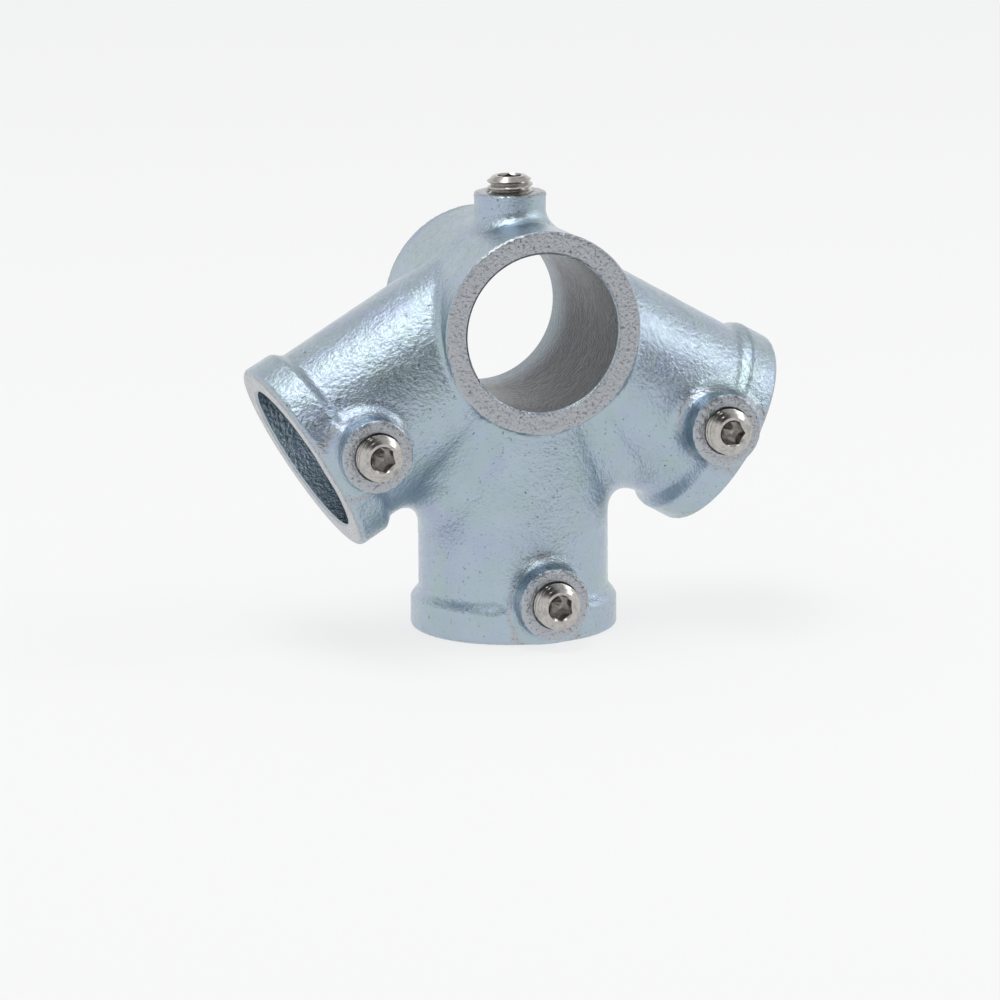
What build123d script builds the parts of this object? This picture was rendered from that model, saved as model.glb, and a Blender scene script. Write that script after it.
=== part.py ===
"""Four-way roof ridge tube fitting: one malleable iron casting and four hexagon socket set screws.

Frame: millimetres, +Z up. The origin is where the axes of all four tubes meet. The ridge tube runs
along Y, the two rafter sockets slope down to -X and +X, and the leg socket points down. The set
screws of the three sockets face -Y, and the ridge tube's own set screw faces +Z.
"""

from build123d import *
from math import cos, radians, sin, sqrt
import os

# tube that the fitting holds: nominal 1 inch pipe, and how much wider the bores are
TUBE_DIAMETER = 33.7
BORE_CLEARANCE = 0.9
MOUTH_CHAMFER = 0.4
ROOF_PITCH = 30.0

# sleeves of the three blind sockets, and the rolled blend in the valleys between them
SLEEVE_RADIUS = 21.1
RAFTER_REACH = 56.0
LEG_REACH = 68.6
VALLEY_FILLET = 5.0

# barrel that the ridge tube passes through, and how far it stands out past the sleeves at each end
BARREL_RADIUS = 22.3
BARREL_STAND_OUT = 0.7
BARREL_RIM_BEVEL = 0.5

# collar round the mouth of each sleeve
COLLAR_STEP = 1.8
COLLAR_LENGTH = 6.5
COLLAR_TAPER = 3.0
COLLAR_RIM_BEVEL = 1.0

# inside of a socket: the tube stops on a shoulder, and a cored recess goes further in
STOP_REACH = 34.0
RECESS_RADIUS = 12.0
RECESS_REACH = 26.0

# bosses for the set screws: each face's distance from the axis of the tube that it clamps
BOSS_RADIUS = 8.0
BOSS_REACH = 28.1
BOSS_INSET = 9.9
BOSS_RIM_BEVEL = 0.5
BOSS_FOOT_BEVEL = 2.0

# set screws, M10 x 12
SCREW_DIAMETER = 10.0
SCREW_LENGTH = 12.0
SCREW_STAND_OUT = 3.5
SCREW_CLEARANCE = 0.05
SCREW_CHAMFER = 0.8
HEX_ACROSS_FLATS = 5.0
HEX_DEPTH = 5.0

bore_radius = (TUBE_DIAMETER + BORE_CLEARANCE) / 2
hole_radius = SCREW_DIAMETER / 2 + SCREW_CLEARANCE
collar_radius = SLEEVE_RADIUS + COLLAR_STEP
collar_root = COLLAR_LENGTH + COLLAR_TAPER * (collar_radius - bore_radius) / COLLAR_STEP
barrel_length = 2 * (SLEEVE_RADIUS + BARREL_STAND_OUT)
boss_span = BOSS_RADIUS + 2 * BOSS_FOOT_BEVEL
slope = radians(ROOF_PITCH)
front = Vector(0, -1, 0)

# each socket's axis and the distance from the origin to its mouth
sockets = {
    "left_rafter": (Vector(-cos(slope), 0, -sin(slope)), RAFTER_REACH),
    "right_rafter": (Vector(cos(slope), 0, -sin(slope)), RAFTER_REACH),
    "leg": (Vector(0, 0, -1), LEG_REACH),
}


def crosswise(axis, distance):
    """Plane across a socket at a distance from the origin, facing out of the mouth."""
    return Plane(origin=axis * distance, x_dir=axis.cross(front), z_dir=axis)


def lengthwise(axis):
    """Plane through a socket's axis: x runs away from the axis, y runs out of the mouth."""
    across = axis.cross(front)
    return Plane(origin=(0, 0, 0), x_dir=across, z_dir=across.cross(axis))


# each boss's face, with the plane's normal pointing out of it
boss_faces = {"ridge": Plane(origin=(0, 0, BOSS_REACH), x_dir=(1, 0, 0), z_dir=(0, 0, 1))}
for name, (axis, reach) in sockets.items():
    centre = axis * (reach - BOSS_INSET) + front * BOSS_REACH
    boss_faces[name] = Plane(origin=centre, x_dir=axis.cross(front), z_dir=front)


def samples(edge):
    """Nine points along an edge."""
    return [edge @ (step / 8) for step in range(9)]


def at_foot(edge, face):
    """Whether an edge runs round the side of a boss, below its face."""
    local = [face.to_local_coords(point) for point in samples(edge)]
    on_side = all(abs(sqrt(p.X**2 + p.Y**2) - BOSS_RADIUS) < 0.001 for p in local)
    return on_side and max(p.Z for p in local) < -BOSS_RIM_BEVEL


def is_lip(edge):
    """Whether an edge is the rim of a bore where a tube goes in."""
    ends = [crosswise(axis, reach) for axis, reach in sockets.values()]
    ends += [Plane.XZ.offset(barrel_length / 2), Plane.XZ.offset(-barrel_length / 2)]
    in_plane = any(all(abs(end.to_local_coords(p).Z) < 0.001 for p in samples(edge)) for end in ends)
    return in_plane and abs(edge.radius - bore_radius) < 0.001


with BuildPart() as casting:
    # barrel, with its rims bevelled
    with BuildSketch(Plane.XZ.offset(-barrel_length / 2)):
        Circle(BARREL_RADIUS)
    extrude(amount=barrel_length)
    chamfer(casting.edges().filter_by(GeomType.CIRCLE), BARREL_RIM_BEVEL)
    # sleeves, long enough for the feet of the bosses to run out on them
    for axis, reach in sockets.values():
        with BuildSketch(crosswise(axis, 0)):
            Circle(SLEEVE_RADIUS)
        extrude(amount=reach - BOSS_INSET + boss_span)
    # blends in the valleys and crotches, where two sleeves cross in an ellipse
    fillet(casting.edges().filter_by(GeomType.ELLIPSE), VALLEY_FILLET)
    # bosses, each sunk to the axis of the tube that it clamps
    for face in boss_faces.values():
        with BuildSketch(face):
            Circle(BOSS_RADIUS)
        extrude(amount=-BOSS_REACH)
        foot = casting.edges().filter_by(lambda edge: at_foot(edge, face))
        chamfer(foot.filter_by(GeomType.LINE, reverse=True), BOSS_FOOT_BEVEL)
        rim = casting.edges().filter_by(GeomType.CIRCLE).sort_by_distance(face.origin)[0]
        chamfer(rim, BOSS_RIM_BEVEL)
    # sleeves cut to length, each with a collar that swells from it and ends in a bevelled rim
    for axis, reach in sockets.values():
        with BuildSketch(crosswise(axis, reach - COLLAR_RIM_BEVEL)):
            Circle(BOSS_REACH)
        extrude(amount=boss_span, mode=Mode.SUBTRACT)
        with BuildSketch(lengthwise(axis)):
            with BuildLine():
                Polyline(
                    (0, reach),
                    (0, reach - collar_root),
                    (bore_radius, reach - collar_root),
                    (collar_radius, reach - COLLAR_LENGTH),
                    (collar_radius, reach - COLLAR_RIM_BEVEL),
                    (collar_radius - COLLAR_RIM_BEVEL, reach),
                    close=True,
                )
            make_face()
        revolve(axis=Axis((0, 0, 0), axis))
    # through bore
    with BuildSketch(Plane.XZ.offset(-barrel_length / 2)):
        Circle(bore_radius)
    extrude(amount=barrel_length, mode=Mode.SUBTRACT)
    # socket bores down to the stop shoulders, and the cored recesses beyond
    for axis, reach in sockets.values():
        with BuildSketch(crosswise(axis, STOP_REACH)):
            Circle(bore_radius)
        extrude(amount=reach - STOP_REACH, mode=Mode.SUBTRACT)
        with BuildSketch(crosswise(axis, RECESS_REACH)):
            Circle(RECESS_RADIUS)
        extrude(amount=STOP_REACH - RECESS_REACH, mode=Mode.SUBTRACT)
    chamfer(casting.edges().filter_by(GeomType.CIRCLE).filter_by(is_lip), MOUTH_CHAMFER)
    # holes for the set screws, into each bore
    for face in boss_faces.values():
        with BuildSketch(face):
            Circle(hole_radius)
        extrude(amount=-BOSS_REACH, mode=Mode.SUBTRACT)
casting.part.label = "fitting_casting"

os.makedirs("parts", exist_ok=True)
export_step(casting.part, "parts/fitting_casting.step")

# set screws, chamfered at both ends, with a hexagon socket in the driving end
for name, face in boss_faces.items():
    driving_end = face.offset(SCREW_STAND_OUT)
    with BuildPart() as screw:
        with BuildSketch(driving_end):
            Circle(SCREW_DIAMETER / 2)
        extrude(amount=-SCREW_LENGTH)
        chamfer(screw.edges().filter_by(GeomType.CIRCLE), SCREW_CHAMFER)
        with BuildSketch(driving_end):
            RegularPolygon(HEX_ACROSS_FLATS / 2, 6, major_radius=False)
        extrude(amount=-HEX_DEPTH, mode=Mode.SUBTRACT)
    screw.part.label = f"{name}_set_screw"
    export_step(screw.part, f"parts/{name}_set_screw.step")
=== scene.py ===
"""Blender scene of the four-way roof ridge tube fitting: a zinc-plated casting with four set screws.

The casting is rebuilt here as one rolled, grainy cast skin with machined faces, and each set screw gets
its thread. Sizes are in millimetres, in the frame of the CAD model, and become metres at the end.
"""

import math

import bpy
import numpy as np
from mathutils import Matrix, Vector, noise


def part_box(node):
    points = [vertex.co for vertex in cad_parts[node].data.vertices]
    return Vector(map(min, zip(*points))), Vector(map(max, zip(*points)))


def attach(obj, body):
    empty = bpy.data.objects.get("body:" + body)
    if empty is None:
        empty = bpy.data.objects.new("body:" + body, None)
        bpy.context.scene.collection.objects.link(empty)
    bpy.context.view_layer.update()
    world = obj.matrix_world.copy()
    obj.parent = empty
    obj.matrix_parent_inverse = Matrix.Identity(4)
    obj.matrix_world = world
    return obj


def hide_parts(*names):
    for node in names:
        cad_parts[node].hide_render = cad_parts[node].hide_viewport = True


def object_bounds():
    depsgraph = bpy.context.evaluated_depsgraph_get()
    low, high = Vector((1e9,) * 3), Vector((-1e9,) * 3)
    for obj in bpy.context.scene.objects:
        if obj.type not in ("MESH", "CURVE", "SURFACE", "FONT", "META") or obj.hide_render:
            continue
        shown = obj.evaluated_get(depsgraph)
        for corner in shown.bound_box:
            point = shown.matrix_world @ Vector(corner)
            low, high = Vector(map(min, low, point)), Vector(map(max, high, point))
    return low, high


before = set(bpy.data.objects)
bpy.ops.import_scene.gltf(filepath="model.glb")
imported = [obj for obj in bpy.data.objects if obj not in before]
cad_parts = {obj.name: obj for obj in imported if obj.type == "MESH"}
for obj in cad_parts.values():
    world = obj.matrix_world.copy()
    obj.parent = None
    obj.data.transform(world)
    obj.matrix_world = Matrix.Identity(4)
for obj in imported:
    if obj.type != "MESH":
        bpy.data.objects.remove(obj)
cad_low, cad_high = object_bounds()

MM = 0.001

# the casting, as in the CAD source
BORE_RADIUS = 17.3
BARREL_RADIUS = 22.3
BARREL_HALF = 21.8
SLEEVE_RADIUS = 21.1
RAFTER_REACH = 56.0
LEG_REACH = 68.6
ROOF_PITCH = 30.0
COLLAR_STEP = 1.8
COLLAR_LENGTH = 6.5
COLLAR_TAPER = 3.0
STOP_REACH = 34.0
RECESS_RADIUS = 12.0
RECESS_REACH = 26.0
BOSS_RADIUS = 8.0
BOSS_REACH = 28.1
BOSS_INSET = 9.9
HOLE_RADIUS = 5.05
SCREW_RADIUS = 5.0
SCREW_LENGTH = 12.0
SCREW_STAND_OUT = 3.5
HEX_ACROSS_FLATS = 5.0

# rolled blends and rounded rims of the cast skin
VALLEY_BLEND = {"left": 9.0, "right": 7.6}
BARREL_BLEND = 3.0
FACE_BLEND = 0.9
FOOT_BLEND = 3.0
COLLAR_ROUND = 1.3
BARREL_ROUND = 0.6
BOSS_ROUND = 0.8
MOUTH_CHAMFER = 0.5
GRID = 0.65

slope = math.radians(ROOF_PITCH)
FRONT = np.array([0.0, -1.0, 0.0])
UP = np.array([0.0, 0.0, 1.0])
SOCKETS = {
    "left": (np.array([-math.cos(slope), 0.0, -math.sin(slope)]), RAFTER_REACH),
    "right": (np.array([math.cos(slope), 0.0, -math.sin(slope)]), RAFTER_REACH),
    "leg": (np.array([0.0, 0.0, -1.0]), LEG_REACH),
}
# each boss: centre of its face, the way it faces, and the turn of the hexagon in its screw
BOSSES = {"ridge_set_screw": (UP * BOSS_REACH, UP, 15.0)}
for key, turn in (("left", 12.0), ("right", 28.0), ("leg", 3.0)):
    axis, reach = SOCKETS[key]
    node = "leg_set_screw" if key == "leg" else key + "_rafter_set_screw"
    BOSSES[node] = (axis * (reach - BOSS_INSET) + FRONT * BOSS_REACH, FRONT, turn)


# ---------------------------------------------------------------- shapes as distance fields
def smooth(t):
    """0 to 1 with flat ends."""
    t = np.clip(t, 0.0, 1.0)
    return t * t * (3.0 - 2.0 * t)


def rolled_join(a, b, radius):
    """Union of two distances with a rolled fillet between them."""
    away = np.hypot(np.maximum(radius - a, 0.0), np.maximum(radius - b, 0.0))
    return np.maximum(radius, np.minimum(a, b)) - away


def rounded_cut(a, b, radius):
    """Intersection of two distances with a rounded edge."""
    out = np.hypot(np.maximum(radius + a, 0.0), np.maximum(radius + b, 0.0))
    return np.minimum(-radius, np.maximum(a, b)) + out


def around(points, axis):
    """Distance along an axis through the origin, distance from it, and the way out from it."""
    along = points @ axis
    off = points - along[:, None] * axis
    far = np.linalg.norm(off, axis=1)
    return along, far, off / np.maximum(far, 1e-6)[:, None]


def sleeve(points, axis, reach):
    """One socket's outer skin with its collar, and the way out from its axis."""
    along, far, out = around(points, axis)
    swell = COLLAR_STEP * smooth((along - reach + COLLAR_LENGTH + COLLAR_TAPER) / COLLAR_TAPER)
    side = rounded_cut(far - SLEEVE_RADIUS - swell, along - reach, COLLAR_ROUND)
    return np.maximum(side, -along), out


def crease(out_a, out_b):
    """How sharply two skins meet: 0 where they run into each other, 1 at a right angle or more."""
    return np.clip(1.0 - np.sum(out_a * out_b, axis=1), 0.0, 1.0)


def boss(points, face, way):
    """One boss, from the middle of the casting to its face."""
    along, far, _ = around(points - (face - way * BOSS_REACH), way)
    return np.maximum(rounded_cut(far - BOSS_RADIUS, along - BOSS_REACH, BOSS_ROUND), -along)


def cast_skin(points):
    """Distance to the casting's outer skin, negative inside."""
    along, far, barrel_out = around(points, -FRONT)
    wall = far - BARREL_RADIUS
    ends = np.abs(along) - BARREL_HALF
    near_face = smooth((np.abs(along) - BARREL_HALF + 6.0) / 6.0)
    fillet = BARREL_BLEND + (FACE_BLEND - BARREL_BLEND) * near_face
    skins = {key: sleeve(points, *SOCKETS[key]) for key in SOCKETS}
    body = wall
    for skin, out in skins.values():
        body = np.minimum(body, rolled_join(wall, skin, 0.02 + fillet * crease(barrel_out, out)))
    body = rounded_cut(body, ends, BARREL_ROUND)
    body = np.minimum(body, np.minimum(skins["left"][0], skins["right"][0]))
    body = np.minimum(body, skins["leg"][0])
    for key in ("left", "right"):
        (skin, out), (leg, leg_out) = skins[key], skins["leg"]
        radius = 0.02 + VALLEY_BLEND[key] * crease(out, leg_out)
        body = np.minimum(body, rolled_join(skin, leg, radius))
    for face, way, _ in BOSSES.values():
        body = rolled_join(body, boss(points, face, way), FOOT_BLEND)
    return body


def machined_depth(points):
    """Distance below the nearest machined face."""
    depth = np.abs(BARREL_HALF - np.abs(points @ FRONT))
    for axis, reach in SOCKETS.values():
        depth = np.minimum(depth, np.abs(points @ axis - reach))
    for face, way, _ in BOSSES.values():
        depth = np.minimum(depth, np.abs((points - face) @ way))
    return depth


def sampled(field, low, high, step):
    """A field sampled on a grid, slab by slab, with the grid's corner."""
    axes = [np.arange(low[i] - 2 * step, high[i] + 3 * step, step) for i in range(3)]
    values = np.empty([len(a) for a in axes], np.float32)
    y, z = np.meshgrid(axes[1], axes[2], indexing="ij")
    for i, x in enumerate(axes[0]):
        slab = np.stack([np.full(y.size, x), y.ravel(), z.ravel()], axis=1)
        values[i] = field(slab).reshape(y.shape)
    return values, np.array([a[0] for a in axes])


def surface_net(values, corner, step):
    """Points and quads of a sampled field's zero surface: one point a cell, one quad a crossed edge."""
    inside = values < 0
    shape = np.array(values.shape) - 1
    corners = [(i, j, k) for i in (0, 1) for j in (0, 1) for k in (0, 1)]
    count = np.zeros(shape, np.int8)
    for i, j, k in corners:
        count += inside[i:shape[0] + i, j:shape[1] + j, k:shape[2] + k]
    cells = np.argwhere((count > 0) & (count < 8))
    number = np.full(shape, -1, np.int64)
    number[tuple(cells.T)] = np.arange(len(cells))
    total, crossings = np.zeros((len(cells), 3)), np.zeros(len(cells))
    for first in corners:
        for direction in range(3):
            if first[direction]:
                continue
            second = np.array(first)
            second[direction] = 1
            a = values[tuple((cells + first).T)]
            b = values[tuple((cells + second).T)]
            crossed = (a < 0) != (b < 0)
            share = np.where(crossed, a / np.where(crossed, a - b, 1.0), 0.0)
            place = np.array(first, float) + share[:, None] * (second - first)
            total += place * crossed[:, None]
            crossings += crossed
    points = corner + step * (cells + total / crossings[:, None])
    quads = []
    for direction in range(3):
        p, q = (direction + 1) % 3, (direction + 2) % 3
        ahead = np.zeros(3, int)
        ahead[direction] = 1
        last = [s - a for s, a in zip(values.shape, ahead)]
        start = inside[:last[0], :last[1], :last[2]]
        end = inside[ahead[0]:, ahead[1]:, ahead[2]:]
        edges = np.argwhere(start != end)
        leaving = start[tuple(edges.T)]
        ring = []
        for back_p, back_q in ((0, 0), (1, 0), (1, 1), (0, 1)):
            cell = edges.copy()
            cell[:, p] -= back_p
            cell[:, q] -= back_q
            ring.append(number[tuple(cell.T)])
        ring = np.stack(ring, axis=1)
        ring[~leaving] = ring[~leaving][:, ::-1]
        quads.append(ring)
    return points, np.concatenate(quads)


def slopes(field, points, reach=0.02):
    """Unit outward normals of a field at points."""
    grad = np.empty_like(points)
    for i in range(3):
        shift = np.zeros(3)
        shift[i] = reach
        grad[:, i] = field(points + shift) - field(points - shift)
    return grad / np.maximum(np.linalg.norm(grad, axis=1), 1e-9)[:, None]


def settled(field, points, steps=4):
    """Points pulled on to a field's zero surface."""
    for _ in range(steps):
        points = points - slopes(field, points) * field(points)[:, None] * 0.9
    return points


# ---------------------------------------------------------------- mesh helpers
def mesh_object(name, points, faces):
    """A mesh object of points in millimetres."""
    mesh = bpy.data.meshes.new(name)
    mesh.from_pydata((np.asarray(points) * MM).tolist(), [], np.asarray(faces).tolist()
                     if isinstance(faces, np.ndarray) else faces)
    mesh.update()
    obj = bpy.data.objects.new(name, mesh)
    bpy.context.scene.collection.objects.link(obj)
    return obj


def stepped_profile(profile, step=2.0):
    """The same (radius, distance) outline with extra points along its long straight stretches."""
    made = [profile[0]]
    for (r0, d0), (r1, d1) in zip(profile, profile[1:]):
        parts = max(1, round(math.hypot(r1 - r0, d1 - d0) / step))
        made += [(r0 + (r1 - r0) * i / parts, d0 + (d1 - d0) * i / parts)
                 for i in range(1, parts + 1)]
    return made


def lathe(name, profile, base, way, segments=256):
    """A closed solid turned round the line through base along way, from (radius, distance) pairs."""
    way = np.asarray(way, float)
    profile = stepped_profile(profile)
    side = np.cross(way, [0.0, 1.0, 0.0] if abs(way[1]) < 0.9 else [1.0, 0.0, 0.0])
    side /= np.linalg.norm(side)
    other = np.cross(way, side)
    points, faces = [], []
    angles = np.arange(segments) * 2 * math.pi / segments
    for radius, distance in profile:
        circle = np.outer(np.cos(angles), side) + np.outer(np.sin(angles), other)
        points.append(base + way * distance + radius * circle)
    for level in range(len(profile) - 1):
        low, high = level * segments, (level + 1) * segments
        for i in range(segments):
            j = (i + 1) % segments
            faces.append((low + i, low + j, high + j, high + i))
    faces.append(tuple(range(segments))[::-1])
    faces.append(tuple(range((len(profile) - 1) * segments, len(profile) * segments)))
    return mesh_object(name, np.concatenate(points), faces)


def carve(target, cutters):
    """Subtracts each cutter from the target and deletes the cutters."""
    for cutter in cutters:
        cut = target.modifiers.new("cut", "BOOLEAN")
        cut.operation = "DIFFERENCE"
        cut.solver = "MANIFOLD"
        cut.object = cutter
        graph = bpy.context.evaluated_depsgraph_get()
        mesh = bpy.data.meshes.new_from_object(target.evaluated_get(graph))
        target.modifiers.clear()
        target.data = mesh
        bpy.data.objects.remove(cutter)


def shade(obj, degrees):
    """Smooth shading with edges kept where faces turn by more than this."""
    obj.data.polygons.foreach_set("use_smooth", [True] * len(obj.data.polygons))
    obj.data.set_sharp_from_angle(angle=math.radians(degrees))


def vertex_points(obj):
    """An object's vertices in millimetres."""
    co = np.empty(len(obj.data.vertices) * 3, np.float32)
    obj.data.vertices.foreach_get("co", co)
    return co.reshape(-1, 3).astype(float) / MM


def set_attribute(obj, name, values):
    """Stores one number a vertex for the materials."""
    made = obj.data.attributes.new(name, "FLOAT", "POINT")
    made.data.foreach_set("value", np.asarray(values, np.float32))


# ---------------------------------------------------------------- the casting
LUMP_DEPTH = 0.10
LUMP_SIZE = 7.0
GRAIN_DEPTH = 0.05
GRAIN_SIZE = 2.2
# how far a cutter runs on past a face, and the countersink and reach of the screw holes
CUT_PAST = 4.0
HOLE_SINK = 0.35
HOLE_PAST = 2.0
HOLE_INNER = 8.0


def lumps(points):
    """Depth of the uneven sand-cast skin, never proud of the true size."""
    depth = np.empty(len(points))
    for i, point in enumerate(points):
        v = Vector(point)
        large = noise.noise(v / LUMP_SIZE) - 1.0
        fine = noise.noise(v / GRAIN_SIZE) - 1.0
        depth[i] = LUMP_DEPTH * large + GRAIN_DEPTH * fine
    return depth


def make_casting():
    """The cast skin with its bores, recesses and screw holes cut."""
    low, high = (np.array(corner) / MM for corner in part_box("fitting_casting"))
    values, corner = sampled(cast_skin, low, high, GRID)
    points, quads = surface_net(values, corner, GRID)
    points = settled(cast_skin, points)
    normals = slopes(cast_skin, points)
    rough = smooth((machined_depth(points) - 0.2) / 1.5)
    points = points + normals * (lumps(points) * rough)[:, None]
    points = np.clip(points, low, high)
    casting = mesh_object("casting_skin", points, quads)
    past = CUT_PAST
    flare = BORE_RADIUS + MOUTH_CHAMFER
    cutters = [lathe("ridge_cutter", [
        (flare + past, -BARREL_HALF - past), (flare, -BARREL_HALF),
        (BORE_RADIUS, -BARREL_HALF + MOUTH_CHAMFER), (BORE_RADIUS, BARREL_HALF - MOUTH_CHAMFER),
        (flare, BARREL_HALF), (flare + past, BARREL_HALF + past),
    ], np.zeros(3), FRONT)]
    for key, (axis, reach) in SOCKETS.items():
        cutters.append(lathe(key + "_cutter", [
            (RECESS_RADIUS, RECESS_REACH), (RECESS_RADIUS, STOP_REACH), (BORE_RADIUS, STOP_REACH),
            (BORE_RADIUS, reach - MOUTH_CHAMFER), (flare, reach), (flare + past, reach + past),
        ], np.zeros(3), axis))
    for node, (face, way, _) in BOSSES.items():
        cutters.append(lathe(node + "_cutter", [
            (HOLE_RADIUS, -BOSS_REACH + HOLE_INNER), (HOLE_RADIUS, -HOLE_SINK),
            (HOLE_RADIUS + HOLE_SINK, 0.0), (HOLE_RADIUS + HOLE_SINK + HOLE_PAST, HOLE_PAST),
        ], face, way, 96))
    carve(casting, cutters)
    points = vertex_points(casting)
    set_attribute(casting, "machined", 1.0 - smooth((machined_depth(points) - 0.05) / 0.5))
    shade(casting, 32)
    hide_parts("fitting_casting")
    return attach(casting, "root")


# ---------------------------------------------------------------- the set screws
THREAD_PITCH = 1.5
THREAD_DEPTH = 0.85
END_RADIUS = 3.55
END_CHAMFER = 1.0
HEX_DEPTH = 5.0
# the inner end's radius and how fast it widens, the sink round the hexagon, and the drilled point below it
TAIL_RADIUS = 3.6
TAIL_FLARE = 1.2
SINK_PROFILE = ((2.2, -0.75), (2.95, 0.0), (4.95, 2.0))
DRILL_RADIUS = 2.1
DRILL_PROFILE = ((0.05, -HEX_DEPTH - 1.2), (DRILL_RADIUS, -HEX_DEPTH + 0.1), (DRILL_RADIUS, 1.0))


def make_screw(node, face, way, turn):
    """One set screw with a rolled thread, a chamfered end and a hexagon socket."""
    segments, rows = ((96, 160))
    way = np.asarray(way, float)
    side = np.cross([1.0, 0.0, 0.0], way)
    other = np.cross(way, side)
    base = face + way * (SCREW_STAND_OUT - SCREW_LENGTH)
    angles = np.arange(segments) * 2 * math.pi / segments
    rings = []
    for row in range(rows + 1):
        height = SCREW_LENGTH * row / rows
        phase = (height / THREAD_PITCH - angles / (2 * math.pi)) % 1.0
        flank = np.clip(np.abs(phase - 0.5) * 2.6 - 0.25, 0.0, 1.0)
        radius = SCREW_RADIUS - THREAD_DEPTH * flank
        top = SCREW_LENGTH - height
        radius = np.minimum(radius, END_RADIUS + top * (SCREW_RADIUS - END_RADIUS) / END_CHAMFER)
        radius = np.minimum(radius, TAIL_RADIUS + height * TAIL_FLARE)
        rings.append(base + way * height + radius[:, None]
                     * (np.outer(np.cos(angles), side) + np.outer(np.sin(angles), other)))
    faces = []
    for row in range(rows):
        low, high = row * segments, (row + 1) * segments
        for i in range(segments):
            j = (i + 1) % segments
            faces.append((low + i, low + j, high + j, high + i))
    faces.append(tuple(range(segments))[::-1])
    faces.append(tuple(range(rows * segments, (rows + 1) * segments)))
    screw = mesh_object("thread_" + node, np.concatenate(rings), faces)
    end = face + way * SCREW_STAND_OUT
    corner_radius = HEX_ACROSS_FLATS / 2 / math.cos(math.pi / 6)
    hexagon = lathe("hex_cutter", [(corner_radius, -HEX_DEPTH), (corner_radius, 2.0)], end, way, 6)
    spin = Matrix.Rotation(math.radians(turn), 4, Vector(way))
    centre = Matrix.Translation(Vector(end * MM))
    hexagon.data.transform(centre @ spin @ centre.inverted())
    sink = lathe("sink_cutter", SINK_PROFILE, end, way, 64)
    drill = lathe("drill_cutter", DRILL_PROFILE, end, way, 48)
    carve(screw, [hexagon, sink, drill])
    shade(screw, 30)
    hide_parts(node)
    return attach(screw, "root")


# ---------------------------------------------------------------- materials
def new_material(name):
    """A node material, with its nodes, links and main shader."""
    material = bpy.data.materials.new(name)
    material.use_nodes = True
    tree = material.node_tree
    return material, tree, tree.nodes["Principled BSDF"]


def add(tree, kind, **values):
    """A node with some of its properties or input values set."""
    node = tree.nodes.new(kind)
    for key, value in values.items():
        if key in node.inputs:
            node.inputs[key].default_value = value
        else:
            setattr(node, key, value)
    return node


def link(tree, a, out, b, into):
    tree.links.new(a.outputs[out], b.inputs[into])


def grain(tree, place, size_mm, detail, lo, hi, offset=0.0):
    """Noise of a real size, stretched to 0 to 1 between two levels."""
    made = add(tree, "ShaderNodeTexNoise", Scale=1000.0 / size_mm, Detail=detail, Roughness=0.6)
    made.noise_dimensions = "3D"
    shifted = add(tree, "ShaderNodeVectorMath", operation="ADD")
    shifted.inputs[1].default_value = (offset, offset * 0.7, -offset)
    link(tree, place, "Object", shifted, 0)
    link(tree, shifted, 0, made, "Vector")
    ramp = add(tree, "ShaderNodeMapRange")
    ramp.inputs["From Min"].default_value = lo
    ramp.inputs["From Max"].default_value = hi
    link(tree, made, 0, ramp, "Value")
    return ramp


def stepped(tree, value, low, high, start, end):
    """A smooth step of a socket's value, from start below low to end above high."""
    node = add(tree, "ShaderNodeMapRange", interpolation_type="SMOOTHSTEP")
    for name, number in (("From Min", low), ("From Max", high), ("To Min", start), ("To Max", end)):
        node.inputs[name].default_value = number
    tree.links.new(value, node.inputs["Value"])
    return node


def mixed(tree, fac, a, b):
    """Colour mix; a and b are colours or sockets, fac a node."""
    node = add(tree, "ShaderNodeMix", data_type="RGBA")
    for index, value in ((6, a), (7, b)):
        if isinstance(value, tuple):
            node.inputs[index].default_value = (*value, 1.0)
        else:
            tree.links.new(value, node.inputs[index])
    tree.links.new(fac, node.inputs[0])
    return node.outputs[2]


ZINC = (0.41, 0.50, 0.565)
ZINC_LILAC = (0.395, 0.465, 0.58)
ZINC_GREEN = (0.385, 0.485, 0.51)
PIT = (0.10, 0.115, 0.12)
FRESH_CUT = (0.42, 0.44, 0.47)
CUT_PIT = (0.12, 0.12, 0.125)
# painted shade: the near-black colour painted on the ridge bore's wall
PAINTED_BORE_SHADE = (0.03, 0.035, 0.042)
NICKEL = (0.50, 0.485, 0.46)
NICKEL_WORN = (0.36, 0.35, 0.335)


def painted_bore_shade(tree, place):
    """1 on the wall of the ridge bore, where shade is painted near black, less towards its rear mouth
    where painted light reaches in, and 0 elsewhere.
    """
    across = add(tree, "ShaderNodeVectorMath", operation="MULTIPLY")
    across.inputs[1].default_value = (1.0 / MM, 0.0, 1.0 / MM)
    link(tree, place, "Object", across, 0)
    far = add(tree, "ShaderNodeVectorMath", operation="LENGTH")
    link(tree, across, 0, far, 0)
    wall = stepped(tree, far.outputs["Value"], BORE_RADIUS + 0.05, BORE_RADIUS + 0.3, 1.0, 0.0)
    parts = add(tree, "ShaderNodeSeparateXYZ")
    link(tree, place, "Object", parts, 0)
    mouth = (MOUTH_CHAMFER - BARREL_HALF) * MM
    front = stepped(tree, parts.outputs["Y"], mouth, mouth + 0.3 * MM, 0.0, 1.0)
    # painted light: the painted bore shade thins to under half towards the rear mouth
    rear = stepped(tree, parts.outputs["Y"], 8.0 * MM, BARREL_HALF * MM, 1.0, 0.45)
    both = add(tree, "ShaderNodeMath", operation="MULTIPLY")
    link(tree, front, 0, both, 0)
    link(tree, rear, 0, both, 1)
    deep = add(tree, "ShaderNodeMath", operation="MULTIPLY")
    link(tree, wall, 0, deep, 0)
    link(tree, both, 0, deep, 1)
    return deep


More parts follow.
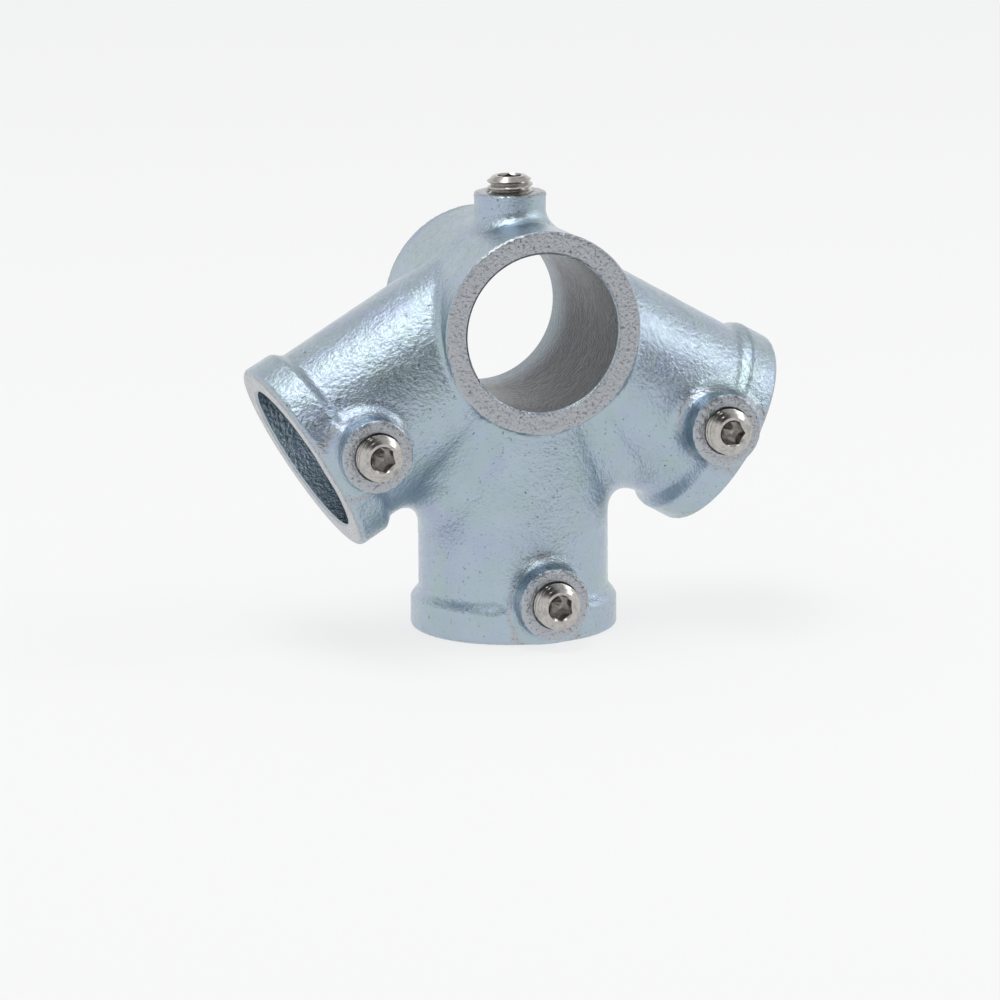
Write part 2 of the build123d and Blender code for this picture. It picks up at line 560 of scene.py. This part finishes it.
def zinc_material():
    """Blue-bright zinc over a cast skin, greyer and pitted where it was machined, with painted shade
    darkening the ridge bore.
    """
    material, tree, shader = new_material("zinc_plate")
    place = add(tree, "ShaderNodeTexCoord")
    machined = add(tree, "ShaderNodeAttribute", attribute_name="machined")
    tint = grain(tree, place, 14.0, 2.0, 0.4, 0.65)
    tint_two = grain(tree, place, 9.0, 2.0, 0.45, 0.7, 0.3)
    pits = grain(tree, place, 0.9, 6.0, 0.62, 0.74, 0.11)
    cut_pits = grain(tree, place, 0.7, 5.0, 0.55, 0.70, 0.2)
    skin = mixed(tree, tint.outputs[0], ZINC, ZINC_LILAC)
    skin = mixed(tree, tint_two.outputs[0], skin, ZINC_GREEN)
    skin = mixed(tree, pits.outputs[0], skin, PIT)
    cut = mixed(tree, cut_pits.outputs[0], FRESH_CUT, CUT_PIT)
    colour = mixed(tree, machined.outputs["Fac"], skin, cut)
    # painted shade: the ridge bore's wall turns near black, lighter towards its rear mouth
    colour = mixed(tree, painted_bore_shade(tree, place).outputs[0], colour, PAINTED_BORE_SHADE)
    tree.links.new(colour, shader.inputs["Base Color"])
    shader.inputs["Metallic"].default_value = 1.0
    rough = grain(tree, place, 3.0, 4.0, 0.3, 0.7, 0.5)
    rough.inputs["To Min"].default_value = 0.15
    rough.inputs["To Max"].default_value = 0.28
    link(tree, rough, 0, shader, "Roughness")
    fine = grain(tree, place, 0.8, 5.0, 0.2, 0.8, 0.7)
    coarse = grain(tree, place, 2.0, 3.0, 0.2, 0.8, 0.9)
    bump = add(tree, "ShaderNodeBump", Strength=1.0, Distance=0.00015)
    link(tree, fine, 0, bump, "Height")
    second = add(tree, "ShaderNodeBump", Strength=1.0, Distance=0.00008)
    link(tree, coarse, 0, second, "Height")
    link(tree, bump, 0, second, "Normal")
    link(tree, second, 0, shader, "Normal")
    return material


def screw_material():
    """Bright nickel."""
    material, tree, shader = new_material("bright_nickel")
    place = add(tree, "ShaderNodeTexCoord")
    worn = grain(tree, place, 1.2, 4.0, 0.45, 0.7)
    colour = mixed(tree, worn.outputs[0], NICKEL, NICKEL_WORN)
    tree.links.new(colour, shader.inputs["Base Color"])
    shader.inputs["Metallic"].default_value = 1.0
    shader.inputs["Roughness"].default_value = 0.22
    return material


# ---------------------------------------------------------------- stage
CAMERA_AZIMUTH = -18.993
CAMERA_ELEVATION = 11.789
CAMERA_ROLL = -0.533
CAMERA_DISTANCE = 1302.0
CAMERA_AIM = (-2.93, 0.0, -40.60)
CAMERA_LENS = 36.0 * 5.9075


def make_camera():
    a, e = math.radians(CAMERA_AZIMUTH), math.radians(CAMERA_ELEVATION)
    back = Vector((math.sin(a) * math.cos(e), -math.cos(a) * math.cos(e), math.sin(e)))
    data = bpy.data.cameras.new("camera")
    data.lens = CAMERA_LENS
    data.sensor_width = 36.0
    data.clip_start = 0.05
    data.clip_end = 50.0
    camera = bpy.data.objects.new("camera", data)
    bpy.context.scene.collection.objects.link(camera)
    camera.location = (Vector(CAMERA_AIM) + back * CAMERA_DISTANCE) * MM
    turn = (-back).to_track_quat("-Z", "Y").to_matrix().to_4x4()
    roll = Matrix.Rotation(math.radians(CAMERA_ROLL), 4, "Z")
    camera.rotation_mode = "QUATERNION"
    camera.rotation_quaternion = (turn @ roll).to_quaternion()
    bpy.context.scene.camera = camera


def make_light(name, way, distance, size, power):
    """A soft rectangular lamp that shines on the fitting from one direction, in metres."""
    data = bpy.data.lights.new(name, "AREA")
    data.shape = "RECTANGLE"
    data.size, data.size_y = size
    data.energy = power
    lamp = bpy.data.objects.new(name, data)
    bpy.context.scene.collection.objects.link(lamp)
    way = Vector(way).normalized()
    lamp.location = way * distance + Vector((0.0, 0.0, -0.02))
    lamp.rotation_mode = "QUATERNION"
    lamp.rotation_quaternion = (-way).to_track_quat("-Z", "Y")
    return lamp


# lamps: name, azimuth, elevation, size in metres and watts
LAMP_DISTANCE = 1.2
LAMPS = (("overhead", -90.0, 79.0, (0.85, 0.38), 5.2), ("right", 72.0, 35.0, (0.34, 0.40), 2.2))

FLOOR_HALF = 3.0
FLOOR_WHITE = 0.75
FLOOR_IN_METAL = 0.9
ROOM_DIM = 0.6
# the ceiling dims between two elevations to a share of the room's white
CEILING = (22.0, 45.0, 0.6)
# unlit parts of the room: azimuth, elevation, and the radius of the dark middle and of the whole
DARK_PARTS = ((-10.0, 42.0, 12.0, 30.0), (34.0, 20.0, 12.0, 26.0))
DARK_LEFT = 0.06


def towards(azimuth, elevation):
    """Unit vector to a place in the studio; azimuth 0 is in front of the fitting, at -Y."""
    a, e = math.radians(azimuth), math.radians(elevation)
    return Vector((math.sin(a) * math.cos(e), -math.cos(a) * math.cos(e), math.sin(e)))


def make_floor():
    """A pale floor that shows white and keeps the fitting's shadow."""
    level = cad_low.z / MM
    half = FLOOR_HALF / MM
    floor = mesh_object("floor", np.array([
        (-half, -half, level), (half, -half, level), (half, half, level), (-half, half, level),
    ]), [(0, 1, 2, 3)])
    material, tree, shader = new_material("white_floor")
    shader.inputs["Base Color"].default_value = (0.8, 0.8, 0.8, 1.0)
    shader.inputs["Roughness"].default_value = 0.9
    ray = add(tree, "ShaderNodeLightPath")
    camera_share = add(tree, "ShaderNodeMath", operation="MULTIPLY")
    camera_share.inputs[1].default_value = FLOOR_WHITE
    link(tree, ray, "Is Camera Ray", camera_share, 0)
    share = add(tree, "ShaderNodeMath", operation="MULTIPLY_ADD")
    share.inputs[1].default_value = FLOOR_IN_METAL
    link(tree, ray, "Is Glossy Ray", share, 0)
    link(tree, camera_share, 0, share, 2)
    glow = add(tree, "ShaderNodeEmission", Color=(1.0, 1.0, 1.0, 1.0), Strength=1.0)
    mix = add(tree, "ShaderNodeMixShader")
    link(tree, share, 0, mix, 0)
    link(tree, shader, 0, mix, 1)
    link(tree, glow, 0, mix, 2)
    link(tree, mix, 0, tree.nodes["Material Output"], "Surface")
    floor.data.materials.append(material)


def make_world():
    """A white studio with a dimmer ceiling and unlit parts in front."""
    world = bpy.data.worlds.new("studio")
    bpy.context.scene.world = world
    world.use_nodes = True
    tree = world.node_tree
    way = add(tree, "ShaderNodeTexCoord")
    parts = add(tree, "ShaderNodeSeparateXYZ")
    link(tree, way, "Generated", parts, 0)
    low, high, dim = CEILING
    strength = stepped(tree, parts.outputs["Z"], math.sin(math.radians(low)),
                       math.sin(math.radians(high)), 1.0, dim)
    for azimuth, elevation, inner, outer in DARK_PARTS:
        dot = add(tree, "ShaderNodeVectorMath", operation="DOT_PRODUCT")
        link(tree, way, "Generated", dot, 0)
        dot.inputs[1].default_value = towards(azimuth, elevation)
        lit = stepped(tree, dot.outputs["Value"], math.cos(math.radians(outer)),
                      math.cos(math.radians(inner)), 1.0, DARK_LEFT)
        both = add(tree, "ShaderNodeMath", operation="MULTIPLY")
        link(tree, strength, 0, both, 0)
        link(tree, lit, 0, both, 1)
        strength = both
    backdrop = tree.nodes["Background"]
    backdrop.inputs["Color"].default_value = (1.0, 1.0, 1.0, 1.0)
    link(tree, strength, 0, backdrop, "Strength")
    room = add(tree, "ShaderNodeBackground", Color=(0.95, 0.97, 1.0, 1.0), Strength=ROOM_DIM)
    ray = add(tree, "ShaderNodeLightPath")
    seen = add(tree, "ShaderNodeMath", operation="MAXIMUM")
    link(tree, ray, "Is Camera Ray", seen, 0)
    link(tree, ray, "Is Glossy Ray", seen, 1)
    mix = add(tree, "ShaderNodeMixShader")
    link(tree, seen, 0, mix, 0)
    link(tree, room, 0, mix, 1)
    link(tree, backdrop, 0, mix, 2)
    link(tree, mix, 0, tree.nodes["World Output"], "Surface")


bpy.context.scene.view_settings.view_transform = "Standard"
make_camera()
make_floor()
make_world()
casting = make_casting()
casting.data.materials.clear()
casting.data.materials.append(zinc_material())
nickel = screw_material()
for node, (face, way, turn) in BOSSES.items():
    screw = make_screw(node, face, way, turn)
    screw.data.materials.clear()
    screw.data.materials.append(nickel)
for name, azimuth, elevation, size, power in LAMPS:
    make_light(name, towards(azimuth, elevation), LAMP_DISTANCE, size, power)
